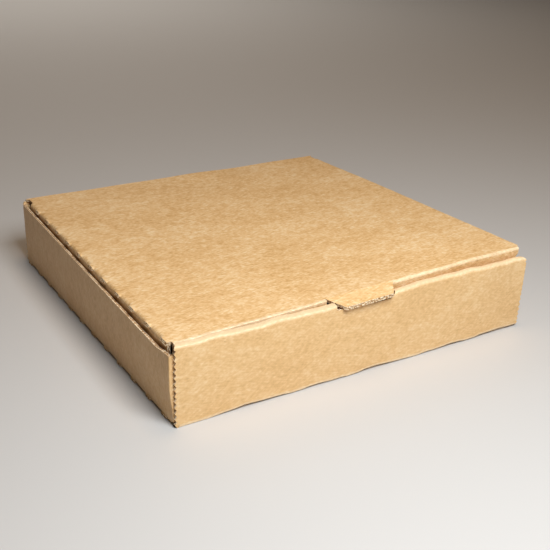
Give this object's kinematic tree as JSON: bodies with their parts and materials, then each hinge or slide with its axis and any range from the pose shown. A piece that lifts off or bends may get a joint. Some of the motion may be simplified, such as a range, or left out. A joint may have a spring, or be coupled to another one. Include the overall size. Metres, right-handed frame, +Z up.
{
  "type": "pizza box",
  "caption": "Shallow square box folded from plain brown corrugated board, with a roll-over front wall and a hinged lid that tucks inside and opens by a thumb tab.",
  "frame": {"origin": "middle of the base's underside", "axes": "+Z up, +Y from the front wall towards the lid's hinge, +X to the right seen from the front"},
  "size_m": [0.229, 0.2319, 0.0468],
  "materials": {
    "kraft_board": "matte"
  },
  "bodies": {
    "tray": {"tray": "kraft_board"},
    "lid": {"lid": "kraft_board"}
  },
  "joints": [
    {"name": "lid_hinge", "type": "hinge", "parent": "tray", "child": "lid", "pos_m": [0, 0.11407, 0.04407], "axis": [-1, 0, 0], "range_deg": [0, 180]}
  ]
}
